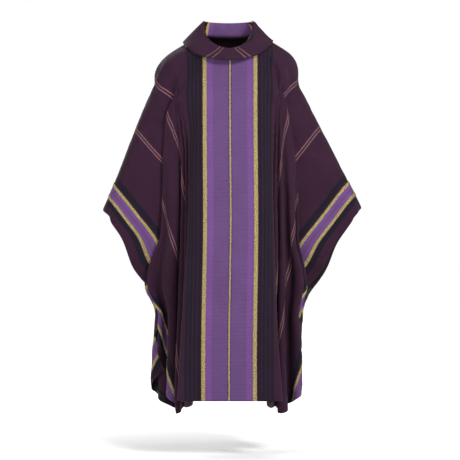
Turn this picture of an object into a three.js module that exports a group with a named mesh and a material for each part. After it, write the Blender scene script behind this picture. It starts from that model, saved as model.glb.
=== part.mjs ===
// A chasuble: one width of striped cloth in front and one behind, joined along the shoulder and sleeve
// seams, with a lined cowl collar turned over at the neck. A ribbed orphrey with gold galloons runs down
// the middle of both panels, and a banded ribbon crosses each sleeve end.
//
// Every piece is laid out on the flat pattern first, in millimetres: `across` is measured from the
// centre line and `down` from the neck point of the shoulder. One function then drapes any flat point
// over the shoulders. The centre panel hangs straight, and the cloth outside it turns about the shoulder
// point as a cone whose folds are a winding curve, so it keeps its flat lengths.
// Axes: +Z up, +X to the viewer's right from the front, the front faces -Y, origin at the neck base.
import * as THREE from 'three';

// ---- flat pattern ----
const HALF_WIDTH = 743; // centre line to the sleeve edge: one loom width of cloth
const GARMENT_LENGTH = 1335; // neck point of the shoulder down to the hem
const SHOULDER_SLOPE = THREE.MathUtils.degToRad(28); // shoulder and sleeve seam below the level line
const NECK_HALF_WIDTH = 105; // with the two drops: a neck edge about 600 round, which a head passes
const FRONT_NECK_DROP = 130;
const BACK_NECK_DROP = 30;
const CORNER_RADIUS = 300; // rounds the sleeve edge into the hem
const CLOTH_THICKNESS = 1.2;
const FACING_WIDTH = 32; // turned strip inside the hem and the sleeve edge
const FACING_THICKNESS = 0.8;
const NECK_BINDING_WIDTH = 20;

// ---- trimmings ----
const ORPHREY_HALF_WIDTH = 95;
const ORPHREY_THICKNESS = 0.9;
const GALLOON_WIDTH = 13.5;
const GALLOON_THICKNESS = 0.7;
const CENTRE_BRAID_HALF_WIDTH = 3;
const BAND_INSET = 46; // sleeve edge to the outer edge of the sleeve band
const BAND_WIDTH = 50;
const BAND_THICKNESS = 0.9;
const BAND_GALLOON_WIDTH = 10;
const LAYER_GAP = 0.4; // clear space between one layer of cloth and the next

// ---- how it hangs ----
const SHOULDER_REACH = 165; // centre line to the shoulder point, where the sleeves turn down
const SHOULDER_RADIUS = 105; // roundness of the shoulders from front to back
const SLEEVE_RADIUS = 54; // roundness over the arm
// One roundness turns to the other from this far inside the shoulder point to this far outside it,
// and between these flat angles, in radians from straight down.
const ARM_REACH = { from: 45, to: 155 };
const RIDGE_SIDE = { from: 0.35, to: 0.96 };
const SLEEVE_HANG = { left: THREE.MathUtils.degToRad(27), right: THREE.MathUtils.degToRad(28.5) };
const FOLD_SECTOR = THREE.MathUtils.degToRad(42); // part of the flat cloth taken up in folds
const FOLD_COUNT = 3; // folds beside each edge of the centre panel
const FOLD_START = 320; // the folds reach their full depth this far below the shoulder point
const HEM_LEAN = 0.135; // how far the centre panels stand forward, for each unit of drop
const LEAN_FADE = 0.3; // flat angle, in radians, where that lean starts to fade towards the ridge
const NECK_HEIGHT = 15; // neck point of the shoulder above the origin
const SEAM_GAP = 0.4; // between the front and the back cloth along the shoulder seam

// ---- collar ----
const COLLAR_SEAM_LIFT = 1.7;
const COLLAR_STAND_RISE = 16; // the stand leaves the neck edge upward before it turns out
const COLLAR_RIM_INSET = 17; // the rim stands this far inside the neck point of the shoulder
const COLLAR_SPREAD = 63; // the turned-over edge lies this far outside it
const COLLAR_RIM = {
  halfWidth: NECK_HALF_WIDTH - COLLAR_RIM_INSET, front: -118, back: 62, frontHeight: -26, height: 66,
};
const COLLAR_EDGE = {
  halfWidth: NECK_HALF_WIDTH + COLLAR_SPREAD, front: -147, back: 112, frontHeight: -70, height: -8,
};
const COLLAR_ROLL = 12; // how full the cloth rolls over the rim
const COLLAR_DIP_POWER = 1.5; // how narrow the low front of the collar is
const STAND_BOW_SHARE = 0.2; // the stand leaves the seam this near to straight up
const COLLAR_FALL_SHARES = [0.35, 0.7]; // where the turned-over part has its rows
const COLLAR_LAYER = 1.0;
const COLLAR_INTERLINING = 0.5;
const COLLAR_GAP = 0.4;

const FRONT = -1;
const BACK = 1;
const LEFT = -1;
const RIGHT = 1;
const tanSlope = Math.tan(SHOULDER_SLOPE);
const ridgeAngle = Math.PI / 2 - SHOULDER_SLOPE; // the ridge, seen from the shoulder point
const shoulderDrop = (SHOULDER_REACH - NECK_HALF_WIDTH) * tanSlope;

// The folds are a winding curve whose heading swings as a sine across the fold sector.
function headingAt(angle, strength) {
  return angle > FOLD_SECTOR ? 0 : strength * Math.sin(2 * Math.PI * FOLD_COUNT * angle / FOLD_SECTOR);
}

// That curve: the sideways and inward angle reached at each flat angle.
function windingCurve(strength) {
  const steps = 420;
  const step = ridgeAngle / steps;
  const points = [{ sideways: 0, inward: 0 }];
  for (let i = 0; i < steps; i += 1) {
    const heading = headingAt((i + 0.5) * step, strength);
    const last = points[i];
    const inward = last.inward + Math.sin(heading) * step;
    const sideways = last.sideways + Math.cos(heading) * step / Math.cos(inward);
    points.push({ sideways, inward });
  }
  return (angle) => {
    const place = THREE.MathUtils.clamp(angle / step, 0, steps);
    const low = Math.min(Math.floor(place), steps - 1);
    const share = place - low;
    return {
      sideways: THREE.MathUtils.lerp(points[low].sideways, points[low + 1].sideways, share),
      inward: THREE.MathUtils.lerp(points[low].inward, points[low + 1].inward, share),
    };
  };
}

// How strongly the folds wind so that the ridge hangs at the wanted angle from the vertical, by halving.
const STRONGEST_FOLD = 2.2;
const HALVINGS = 40;
function foldStrength(hang) {
  let low = 0;
  let high = STRONGEST_FOLD;
  for (let i = 0; i < HALVINGS; i += 1) {
    const middle = (low + high) / 2;
    if (windingCurve(middle)(ridgeAngle).sideways > hang) low = middle;
    else high = middle;
  }
  return (low + high) / 2;
}

// The folds deepen with the distance from the shoulder point, so a few curves are kept for each side.
const CURVE_STEPS = 12;
function curvesFor(hang) {
  const strength = foldStrength(hang);
  return Array.from({ length: CURVE_STEPS + 1 }, (_, i) => windingCurve(strength * i / CURVE_STEPS));
}
const foldCurves = { [LEFT]: curvesFor(SLEEVE_HANG.left), [RIGHT]: curvesFor(SLEEVE_HANG.right) };

function foldAt(hand, angle, radius) {
  const place = THREE.MathUtils.smoothstep(radius, 0, FOLD_START) * CURVE_STEPS;
  const low = Math.min(Math.floor(place), CURVE_STEPS - 1);
  const near = foldCurves[hand][low](angle);
  const far = foldCurves[hand][low + 1](angle);
  return {
    sideways: THREE.MathUtils.lerp(near.sideways, far.sideways, place - low),
    inward: THREE.MathUtils.lerp(near.inward, far.inward, place - low),
  };
}

function ridgeDown(across) {
  return Math.max(across - NECK_HALF_WIDTH, 0) * tanSlope;
}

// Drapes one flat point. `across` may be negative, for the left half.
const NEAREST_DOWN = 1e-3;
function drape(face, across, down) {
  const hand = across < 0 ? LEFT : RIGHT;
  const out = Math.abs(across);
  const ridge = ridgeDown(out);
  const below = Math.max(down - ridge, 0);
  const angleFlat = Math.atan2(out - SHOULDER_REACH, Math.max(down - shoulderDrop, NEAREST_DOWN));
  const armFrom = SHOULDER_REACH - ARM_REACH.from;
  const onSleeve = THREE.MathUtils.smoothstep(out, armFrom, SHOULDER_REACH + ARM_REACH.to);
  const nearRidge = THREE.MathUtils.smoothstep(angleFlat, RIDGE_SIDE.from, RIDGE_SIDE.to);
  const radius = THREE.MathUtils.lerp(SHOULDER_RADIUS, SLEEVE_RADIUS, onSleeve * nearRidge);
  const turn = Math.min(below / radius, Math.PI / 2);
  const over = radius * Math.sin(turn);
  const sunk = ridge + radius * (1 - Math.cos(turn)) + Math.max(below - radius * Math.PI / 2, 0);
  let x = out;
  let drop = sunk;
  let inward = 0;
  let lean = HEM_LEAN * Math.max(sunk - shoulderDrop, 0);
  if (out > SHOULDER_REACH) {
    const reach = Math.hypot(out - SHOULDER_REACH, sunk - shoulderDrop);
    const angle = Math.atan2(out - SHOULDER_REACH, sunk - shoulderDrop);
    const fold = foldAt(hand, angle, reach);
    x = SHOULDER_REACH + reach * Math.sin(fold.sideways) * Math.cos(fold.inward);
    drop = shoulderDrop + reach * Math.cos(fold.sideways) * Math.cos(fold.inward);
    inward = reach * Math.sin(fold.inward);
    const fade = 1 - THREE.MathUtils.smoothstep(angle, LEAN_FADE, ridgeAngle);
    lean = HEM_LEAN * fade * (drop - shoulderDrop);
  }
  const depth = over - inward + Math.max(lean, 0) + SEAM_GAP / 2;
  return new THREE.Vector3(hand * x, face * depth, NECK_HEIGHT - drop);
}

// A draped point with the cloth's outward direction there, measured just below the shoulder line.
const MEASURE_STEP = 1.5;
const BELOW_SEAM = 2;
const CENTRE_CLEAR = 0.001;
function drapedPoint(face, across, down) {
  const hand = across < 0 ? LEFT : RIGHT;
  const out = Math.abs(across);
  const safe = Math.max(down, ridgeDown(out) + BELOW_SEAM);
  const step = MEASURE_STEP;
  const centreSide = out <= SHOULDER_REACH + CENTRE_CLEAR;
  const a = drape(face, hand * (centreSide ? Math.max(out - step, CENTRE_CLEAR) : out - step), safe);
  const b = drape(face, hand * (centreSide ? out : out + step), safe);
  const c = drape(face, across, safe - step);
  const d = drape(face, across, safe + step);
  const normal = b.sub(a).multiplyScalar(hand).cross(d.sub(c)).normalize();
  if (face === BACK) normal.negate();
  return { point: drape(face, across, down), normal: normal.negate() };
}

// ---- the flat pattern's grid ----
// Columns run down the centre panel and then out along rays from the shoulder point. Every piece is cut
// from this one grid, so that layers of cloth stay parallel.
const raysPerFold = 7;
const sleeveRays = [0.8, 0.87, 0.92, 0.96, 1]; // as shares of the ridge's angle
const neckShares = [0.3, 0.55]; // columns between the centre braid and the galloons
const foldRayCount = raysPerFold * FOLD_COUNT;
const rayAngles = Array.from({ length: foldRayCount }, (_, i) => FOLD_SECTOR * (i + 1) / foldRayCount);
sleeveRays.forEach((share) => rayAngles.push(ridgeAngle * share));
const centreColumns = [
  CENTRE_BRAID_HALF_WIDTH,
  ...neckShares.map((share) => NECK_HALF_WIDTH * share),
  ORPHREY_HALF_WIDTH - GALLOON_WIDTH,
  ORPHREY_HALF_WIDTH,
  NECK_HALF_WIDTH,
  (NECK_HALF_WIDTH + SHOULDER_REACH) / 2,
  SHOULDER_REACH,
].sort((a, b) => a - b);
const openRows = [0.05, 0.11, 0.19, 0.34, 0.6]; // as shares of the way down to the hem
const bandOuter = HALF_WIDTH - BAND_INSET;
const bandInner = bandOuter - BAND_WIDTH;
const bandLines = [bandInner, bandInner + BAND_GALLOON_WIDTH, bandOuter - BAND_GALLOON_WIDTH, bandOuter];
const BINDING_ROW = 1;
const BAND_ROW = BINDING_ROW + 1 + openRows.length;
const FACING_ROW = BAND_ROW + bandLines.length;
const EDGE_ROW = FACING_ROW + 1;
const facingEdgeInset = 1;

function topOf(face, out) {
  if (out >= NECK_HALF_WIDTH) return ridgeDown(out);
  const neckDrop = face === FRONT ? FRONT_NECK_DROP : BACK_NECK_DROP;
  return neckDrop * Math.sqrt(1 - (out / NECK_HALF_WIDTH) ** 2);
}

// Distance from the shoulder point to the outline, or to the line that runs inside it at an inset.
function outlineReach(angle, inset) {
  const toHem = GARMENT_LENGTH - shoulderDrop - inset;
  const toSide = HALF_WIDTH - SHOULDER_REACH - inset;
  const radius = CORNER_RADIUS - inset;
  const straight = Math.min(toHem / Math.cos(angle), toSide / Math.sin(angle));
  const centreAcross = toSide - radius;
  const centreDown = toHem - radius;
  const inCorner = straight * Math.sin(angle) > centreAcross && straight * Math.cos(angle) > centreDown;
  if (!inCorner) return straight;
  const along = centreAcross * Math.sin(angle) + centreDown * Math.cos(angle);
  const aside = centreAcross * Math.cos(angle) - centreDown * Math.sin(angle);
  return along + Math.sqrt(Math.max(radius ** 2 - aside ** 2, 0));
}

function lineReach(angle, line) {
  return (line - SHOULDER_REACH) / Math.sin(angle);
}

// Columns are { across } on the centre panel or { hand, angle } on a sleeve.
function allColumns() {
  const rays = (hand) => rayAngles.map((angle) => ({ hand, angle }));
  const centre = centreColumns.map((across) => ({ across }));
  const mirrored = centre.map(({ across }) => ({ across: -across })).reverse();
  return [...rays(LEFT).reverse(), ...mirrored, ...centre, ...rays(RIGHT)];
}

// A column's draped points, top to hem. A band line that the column doesn't cross falls on the facing row.
function columnPoints(face, column, edgeInset = 0) {
  if (column.angle === undefined) {
    const top = topOf(face, Math.abs(column.across));
    const facingLine = GARMENT_LENGTH - FACING_WIDTH;
    const downs = [top, top + NECK_BINDING_WIDTH];
    openRows.forEach((share) => downs.push(top + share * (GARMENT_LENGTH - top)));
    bandLines.forEach(() => downs.push(facingLine));
    downs.push(facingLine, GARMENT_LENGTH - edgeInset);
    return downs.map((down) => drapedPoint(face, column.across, down));
  }
  const { hand, angle } = column;
  const facingReach = outlineReach(angle, FACING_WIDTH);
  const reaches = [0, 0, ...openRows.map((share) => share * outlineReach(angle, 0))];
  bandLines.forEach((line) => reaches.push(Math.min(lineReach(angle, line), facingReach)));
  reaches.push(facingReach, outlineReach(angle, edgeInset));
  return reaches.map((reach) => drapedPoint(
    face,
    hand * (SHOULDER_REACH + (reach > 0 ? reach * Math.sin(angle) : 0)),
    shoulderDrop + reach * Math.cos(angle),
  ));
}

// Rows of draped points between two grid rows, for the columns that are kept.
function gridRows(face, columns, firstRow, lastRow, edgeInset = 0) {
  const points = columns.map((column) => columnPoints(face, column, edgeInset));
  return points[0].slice(firstRow, lastRow + 1).map((_, i) => points.map((column) => column[firstRow + i]));
}

// ---- closed solids ----
// rows[i][j] are draped points; the sheet lies between the two offsets along their outward directions.
// Each four-sided patch is split along its shorter diagonal, the same way in every layer.
function sheetSolid(rows, low, high, ring = false) {
  const columns = rows[0].length;
  const positions = [];
  const shared = new Map();
  const corner = ({ point, normal }, offset) => {
    const p = point.clone().addScaledVector(normal, offset);
    const key = [p.x, p.y, p.z].map((value) => value.toFixed(4)).join(' ');
    if (!shared.has(key)) {
      shared.set(key, positions.length / 3);
      positions.push(p.x, p.y, p.z);
    }
    return shared.get(key);
  };
  const under = rows.map((row) => row.map((entry) => corner(entry, low)));
  const upper = rows.map((row) => row.map((entry) => corner(entry, high)));
  const index = [];
  const triangle = (a, b, c) => {
    if (a !== b && b !== c && c !== a) index.push(a, b, c);
  };
  const quad = (a, b, c, d, crossed = false) => {
    triangle(a, b, crossed ? d : c);
    triangle(crossed ? b : a, c, d);
  };
  const spans = ring ? columns : columns - 1;
  for (let i = 0; i < rows.length - 1; i += 1) {
    for (let j = 0; j < spans; j += 1) {
      const k = (j + 1) % columns;
      const falling = rows[i][j].point.distanceTo(rows[i + 1][k].point);
      const rising = rows[i + 1][j].point.distanceTo(rows[i][k].point);
      const crossed = rising < falling;
      quad(upper[i][j], upper[i + 1][j], upper[i + 1][k], upper[i][k], crossed);
      quad(under[i][j], under[i][k], under[i + 1][k], under[i + 1][j], crossed);
    }
  }
  const last = rows.length - 1;
  for (let j = 0; j < spans; j += 1) {
    const k = (j + 1) % columns;
    quad(under[0][j], upper[0][j], upper[0][k], under[0][k]);
    quad(under[last][k], upper[last][k], upper[last][j], under[last][j]);
  }
  if (!ring) {
    for (let i = 0; i < last; i += 1) {
      quad(under[i + 1][0], upper[i + 1][0], upper[i][0], under[i][0]);
      quad(under[i][spans], upper[i][spans], upper[i + 1][spans], under[i + 1][spans]);
    }
  }
  return outwardGeometry(positions, index);
}

// Turns every face outward by the sign of the enclosed volume.
function outwardGeometry(positions, index) {
  const at = (i) => new THREE.Vector3().fromArray(positions, 3 * i);
  let volume = 0;
  for (let i = 0; i < index.length; i += 3) {
    volume += at(index[i]).dot(at(index[i + 1]).cross(at(index[i + 2])));
  }
  const faces = volume > 0 ? index : index.map((_, i) => index[i - (i % 3) + [0, 2, 1][i % 3]]);
  const geometry = new THREE.BufferGeometry();
  geometry.setAttribute('position', new THREE.Float32BufferAttribute(positions, 3));
  geometry.setIndex(faces);
  geometry.computeVertexNormals();
  return geometry;
}

const group = new THREE.Group();
function addPiece(name, geometry, color, roughness, metalness = 0) {
  const material = new THREE.MeshStandardMaterial({ color, roughness, metalness });
  const mesh = new THREE.Mesh(geometry, material);
  mesh.name = name;
  group.add(mesh);
}
const PLUM = 0x3f2739;
const VIOLET = 0x694c7c;
const GOLD = 0xa89468;
const LINING = 0x1e1219;

// Offsets of the layers from the middle of the cloth.
const clothTop = CLOTH_THICKNESS / 2;
const trimLow = clothTop + LAYER_GAP;
const orphreyTop = trimLow + ORPHREY_THICKNESS;
const galloonLow = orphreyTop + LAYER_GAP;
const bandTop = trimLow + BAND_THICKNESS;
const bandGalloonLow = bandTop + LAYER_GAP;
const facingHigh = -clothTop - LAYER_GAP;

// ---- main cloth ----
for (const [name, face] of [['front_cloth', FRONT], ['back_cloth', BACK]]) {
  const rows = gridRows(face, allColumns(), 0, EDGE_ROW);
  addPiece(name, sheetSolid(rows, -clothTop, clothTop), PLUM, 0.9);
}

// ---- orphrey, its galloons and its centre braid ----
// They end just below the neck edge, under the collar.
function centreStrip(face, from, to, low, high) {
  const within = (across) => across >= from - CENTRE_CLEAR && across <= to + CENTRE_CLEAR;
  const inside = ({ across }) => across !== undefined && within(across);
  return sheetSolid(gridRows(face, allColumns().filter(inside), BINDING_ROW, EDGE_ROW), low, high);
}
for (const [name, face] of [['front', FRONT], ['back', BACK]]) {
  const edge = ORPHREY_HALF_WIDTH;
  const galloonTop = galloonLow + GALLOON_THICKNESS;
  const left = centreStrip(face, -edge, -edge + GALLOON_WIDTH, galloonLow, galloonTop);
  const right = centreStrip(face, edge - GALLOON_WIDTH, edge, galloonLow, galloonTop);
  const braid = CENTRE_BRAID_HALF_WIDTH;
  const middle = centreStrip(face, -braid, braid, galloonLow, galloonTop);
  addPiece(`${name}_orphrey`, centreStrip(face, -edge, edge, trimLow, orphreyTop), VIOLET, 0.85);
  addPiece(`${name}_orphrey_galloon_left`, left, GOLD, 0.45, 0.5);
  addPiece(`${name}_orphrey_galloon_right`, right, GOLD, 0.45, 0.5);
  addPiece(`${name}_orphrey_centre_braid`, middle, GOLD, 0.45, 0.5);
}

// ---- sleeve bands, their galloons and the sleeve facings ----
// A strip along the sleeve edge, from the front hem over the seam to the back hem.
function sleeveStrip(hand, angles, firstRow, lastRow, low, high) {
  const up = angles.map((angle) => ({ hand, angle }));
  const down = [...up].reverse();
  const front = gridRows(FRONT, up, firstRow, lastRow, facingEdgeInset);
  const back = gridRows(BACK, down, firstRow, lastRow, facingEdgeInset);
  return sheetSolid(front.map((row, i) => [...row, ...back[i]]), low, high);
}
const crossesBand = (angle) => lineReach(angle, bandOuter) < outlineReach(angle, FACING_WIDTH);
const bandAngles = rayAngles.filter(crossesBand);
const facingLow = facingHigh - FACING_THICKNESS;
const cornerStart = Math.atan2(HALF_WIDTH - SHOULDER_REACH, GARMENT_LENGTH - shoulderDrop - CORNER_RADIUS);
const sideAngles = rayAngles.filter((angle) => angle > cornerStart);
for (const [name, hand] of [['left', LEFT], ['right', RIGHT]]) {
  const top = bandGalloonLow + GALLOON_THICKNESS;
  const band = sleeveStrip(hand, bandAngles, BAND_ROW, BAND_ROW + 3, trimLow, bandTop);
  const inner = sleeveStrip(hand, bandAngles, BAND_ROW, BAND_ROW + 1, bandGalloonLow, top);
  const outer = sleeveStrip(hand, bandAngles, BAND_ROW + 2, BAND_ROW + 3, bandGalloonLow, top);
  const facing = sleeveStrip(hand, sideAngles, FACING_ROW, EDGE_ROW, facingLow, facingHigh);
  addPiece(`${name}_sleeve_band`, band, VIOLET, 0.85);
  addPiece(`${name}_band_inner_galloon`, inner, GOLD, 0.45, 0.5);
  addPiece(`${name}_band_outer_galloon`, outer, GOLD, 0.45, 0.5);
  addPiece(`${name}_sleeve_facing`, facing, LINING, 0.9);
}

// ---- hem facings ----
// The strip inside the hem of each panel, between the starts of the two sleeve facings.
for (const [name, face] of [['front', FRONT], ['back', BACK]]) {
  const columns = allColumns().filter(({ angle }) => angle === undefined || angle <= cornerStart);
  const rows = gridRows(face, columns, FACING_ROW, EDGE_ROW, facingEdgeInset);
  addPiece(`${name}_hem_facing`, sheetSolid(rows, facingLow, facingHigh), LINING, 0.9);
}

// ---- collar ----
// A cowl sewn to the neck edge, rising inside to its rim and turned over outward. Its columns follow the
// neck edge, front and then back.
const neckColumns = centreColumns.filter((across) => across <= NECK_HALF_WIDTH);
const neckAcross = [...[...neckColumns].reverse().map((across) => -across), ...neckColumns];
function neckEdge() {
  const front = neckAcross.map((across) => ({ across, face: FRONT }));
  const back = [...neckAcross].reverse().map((across) => ({ across, face: BACK }));
  return [...front, ...back];
}

// A closed curve round the neck: lower in front, level at the sides and behind.
function collarCurve({ halfWidth, front, back, frontHeight, height }, around) {
  const middle = (front + back) / 2;
  const reach = (back - front) / 2;
  const dip = Math.max(Math.cos(around), 0) ** COLLAR_DIP_POWER;
  return new THREE.Vector3(
    halfWidth * Math.sin(around),
    middle - reach * Math.cos(around),
    THREE.MathUtils.lerp(height, frontHeight, dip),
  );
}

function collarProfile({ across, face }) {
  const quarter = Math.asin(THREE.MathUtils.clamp(across / NECK_HALF_WIDTH, -1, 1));
  const around = face === FRONT ? quarter : Math.PI - quarter;
  const seam = drapedPoint(face, across, topOf(face, Math.abs(across)));
  const foot = seam.point.clone().addScaledVector(seam.normal, clothTop + COLLAR_SEAM_LIFT);
  const rim = collarCurve(COLLAR_RIM, around);
  const edge = collarCurve(COLLAR_EDGE, around);
  const roll = rim.clone().add(edge).divideScalar(2).add(new THREE.Vector3(0, 0, COLLAR_ROLL));
  const bow = foot.clone().lerp(rim, STAND_BOW_SHARE).setZ((foot.z + rim.z) / 2 + COLLAR_STAND_RISE);
  const stand = new THREE.QuadraticBezierCurve3(foot, bow, rim);
  const fall = new THREE.QuadraticBezierCurve3(rim, roll, edge);
  const fallPoints = COLLAR_FALL_SHARES.map((share) => fall.getPoint(share));
  return [foot, stand.getPoint(1 / 2), rim, ...fallPoints, edge];
}

function collarRows() {
  const profiles = neckEdge().map(collarProfile);
  const count = profiles.length;
  const at = (i, j) => profiles[(j + count) % count][THREE.MathUtils.clamp(i, 0, profiles[0].length - 1)];
  return profiles[0].map((_, i) => profiles.map((profile, j) => {
    const along = at(i + 1, j).clone().sub(at(i - 1, j));
    const round = at(i, j + 1).clone().sub(at(i, j - 1));
    return { point: profile[i], normal: along.cross(round).normalize() };
  }));
}
{
  const rows = collarRows();
  const halfInterlining = COLLAR_INTERLINING / 2;
  const layerLow = halfInterlining + COLLAR_GAP;
  addPiece('collar_outer', sheetSolid(rows, layerLow, layerLow + COLLAR_LAYER, true), PLUM, 0.9);
  addPiece('collar_interlining', sheetSolid(rows, -halfInterlining, halfInterlining, true), LINING, 0.9);
  addPiece('collar_under', sheetSolid(rows, -layerLow - COLLAR_LAYER, -layerLow, true), LINING, 0.9);
}

// ---- neck seam binding ----
// A narrow ring inside the neck edge that covers the collar seam.
{
  const ofFace = (face) => gridRows(face, neckAcross.map((across) => ({ across })), 0, BINDING_ROW);
  const back = ofFace(BACK);
  const rows = ofFace(FRONT).map((row, i) => [...row, ...back[i].reverse()]);
  addPiece('neck_binding', sheetSolid(rows, facingLow, facingHigh, true), LINING, 0.9);
}

export default group;
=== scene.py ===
import math

import bpy
import numpy as np
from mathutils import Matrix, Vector
from mathutils.bvhtree import BVHTree
from mathutils.geometry import delaunay_2d_cdt


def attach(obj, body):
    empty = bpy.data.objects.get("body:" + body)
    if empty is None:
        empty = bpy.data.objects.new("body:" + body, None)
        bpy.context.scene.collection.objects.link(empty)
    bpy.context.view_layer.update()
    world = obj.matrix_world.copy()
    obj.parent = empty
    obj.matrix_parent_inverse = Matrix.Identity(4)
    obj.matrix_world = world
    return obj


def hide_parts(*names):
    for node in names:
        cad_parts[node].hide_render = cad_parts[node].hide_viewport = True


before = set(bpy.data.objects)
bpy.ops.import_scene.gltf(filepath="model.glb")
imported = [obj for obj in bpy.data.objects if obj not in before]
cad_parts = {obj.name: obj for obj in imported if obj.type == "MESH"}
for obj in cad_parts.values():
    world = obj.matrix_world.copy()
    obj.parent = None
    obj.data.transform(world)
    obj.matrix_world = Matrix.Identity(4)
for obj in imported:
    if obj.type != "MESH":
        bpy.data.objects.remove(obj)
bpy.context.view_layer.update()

scene = bpy.context.scene
for thing in bpy.context.selected_objects:
    thing.select_set(False)


# ==== The two panels ====
# Each panel is one loom width of a dark plum wool twill, with navy stripes beside the middle, two pairs
# of gold pinstripes on each side and a navy stripe on each side of the sleeve band. Front and back are
# sewn together along the shoulder and sleeve seams, and hang from the shoulders in deep soft folds.
HALF_WIDTH = 0.743
PANEL_LENGTH = 1.335
SHOULDER_SLOPE = math.radians(28)
NECK_HALF_WIDTH = 0.105
NECK_DROP = {"front": 0.130, "back": 0.030}
CORNER_RADIUS = 0.300
CLOTH_THICKNESS = 0.0012
CLOTH_SPACING = 0.0175
CLEAR_OF_EDGE = 0.62 * CLOTH_SPACING
FIRST_ROW = 0.004
NECK_STEPS = 10
CORNER_STEPS = 14

# How the cloth hangs from the shoulders: a cone of folds about each shoulder point.
SHOULDER_REACH = 0.165
SHOULDER_RADIUS = 0.105
SLEEVE_RADIUS = 0.054
SLEEVE_BLEND = (SHOULDER_REACH - 0.045, SHOULDER_REACH + 0.155)
SLEEVE_ANGLES = (0.35, 0.96)
SLEEVE_HANG = {-1: math.radians(27), 1: math.radians(28.5)}
FOLD_SECTOR = math.radians(42)
FOLD_COUNT = 5
FOLD_START = 0.180
FOLD_LEVELS = 12
FOLD_STEPS = 420
STRONGEST_FOLD = 2.2
HALVINGS = 40
FOLD_DRIFT = {("front", -1): 0.10, ("front", 1): -0.06, ("back", -1): -0.10, ("back", 1): 0.10}
HEM_LEAN = 0.135
LEAN_FADE_START = 0.3
LOOSE_FROM, LOOSE_FULLY = 0.15, 0.9
RIPPLE, RIPPLE_DOWN, RIPPLE_ACROSS = 0.0045, 9.5, 7.0
SWAY, SWAY_DOWN, SWAY_SIDE = 0.0035, 5.2, 1.3
NECK_HEIGHT = 0.015

slope_fall = math.tan(SHOULDER_SLOPE)
ridge_angle = math.pi / 2 - SHOULDER_SLOPE
shoulder_drop = (SHOULDER_REACH - NECK_HALF_WIDTH) * slope_fall
facing_side = {"front": -1, "back": 1}


def ease(value, low, high):
    share = np.clip((value - low) / (high - low), 0, 1)
    return share * share * (3 - 2 * share)


def neck_top(side, across):
    """How far below the neck point the cloth starts, at that distance from the centre line."""
    share = np.clip(np.abs(across) / NECK_HALF_WIDTH, 0, 1)
    shoulder = np.maximum(np.abs(across) - NECK_HALF_WIDTH, 0) * slope_fall
    return NECK_DROP[side] * np.sqrt(1 - share ** 2) + shoulder


def half_outline(side):
    """Flat outline of the right half, from the middle of the neck to the middle of the hem."""
    turn = [math.pi / 2 * k / NECK_STEPS for k in range(NECK_STEPS + 1)]
    points = [(NECK_HALF_WIDTH * math.sin(a), NECK_DROP[side] * math.cos(a)) for a in turn]
    points[-1] = (NECK_HALF_WIDTH, 0.0)
    points.append((HALF_WIDTH, (HALF_WIDTH - NECK_HALF_WIDTH) * slope_fall))
    middle = (HALF_WIDTH - CORNER_RADIUS, PANEL_LENGTH - CORNER_RADIUS)
    for a in [math.pi / 2 * k / CORNER_STEPS for k in range(CORNER_STEPS + 1)]:
        points.append((middle[0] + CORNER_RADIUS * math.cos(a), middle[1] + CORNER_RADIUS * math.sin(a)))
    return points + [(0.0, PANEL_LENGTH)]


def inside(points, outline):
    """Which flat points lie inside a closed outline."""
    found = np.zeros(len(points), bool)
    for (x1, y1), (x2, y2) in zip(outline, np.roll(outline, -1, axis=0)):
        if y1 == y2:
            continue
        crosses = (y1 > points[:, 1]) != (y2 > points[:, 1])
        at = (x2 - x1) * (points[:, 1] - y1) / (y2 - y1) + x1
        found ^= crosses & (points[:, 0] < at)
    return found


def flat_mesh(side):
    """An even triangle mesh of the flat panel."""
    half = half_outline(side)
    corners = half + [(-x, y) for x, y in half[::-1]][1:-1]
    outline = []
    for a, b in zip(corners, corners[1:] + corners[:1]):
        a, b = np.array(a), np.array(b)
        parts = max(1, round(float(np.linalg.norm(b - a)) / CLOTH_SPACING))
        outline += [a + (b - a) * k / parts for k in range(parts)]
    outline = np.array(outline)
    row_height = CLOTH_SPACING * math.sqrt(3) / 2
    reach = math.ceil(HALF_WIDTH / CLOTH_SPACING) + 1
    grid = []
    for row, y in enumerate(np.arange(FIRST_ROW, PANEL_LENGTH, row_height)):
        shift = CLOTH_SPACING / 2 if row % 2 else 0
        grid += [(x + shift, y) for x in np.arange(-reach, reach + 1) * CLOTH_SPACING]
    grid = np.array(grid)
    nearest = np.full(len(grid), 1.0)
    for point in outline:
        nearest = np.minimum(nearest, ((grid - point) ** 2).sum(1))
    grid = grid[inside(grid, outline) & (np.sqrt(nearest) > CLEAR_OF_EDGE)]
    count = len(outline)
    edges = [(k, (k + 1) % count) for k in range(count)]
    places = [Vector(p) for p in outline.tolist() + grid.tolist()]
    flat, _, faces, _, _, _ = delaunay_2d_cdt(places, edges, [], 1, 1e-6)
    flat = np.array([tuple(p) for p in flat])
    faces = np.array([f for f in faces if len(f) == 3])
    return flat, faces[inside(flat[faces].mean(1), outline)]


def winding_curve(strength, drift):
    """Sideways and inward angle of the folded cloth at each flat angle from the shoulder point."""
    step = ridge_angle / FOLD_STEPS
    angle = (np.arange(FOLD_STEPS) + 0.5) * step
    share = np.clip(angle / FOLD_SECTOR, 0, 1)
    wave = np.sin(2 * math.pi * FOLD_COUNT * (share + drift * share * (1 - share)))
    heading = np.where(angle < FOLD_SECTOR, strength * wave, 0)
    inward = np.concatenate([[0], np.cumsum(np.sin(heading)) * step])
    sideways = np.concatenate([[0], np.cumsum(np.cos(heading) / np.cos(inward[1:])) * step])
    return np.linspace(0, ridge_angle, FOLD_STEPS + 1), sideways, inward


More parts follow.
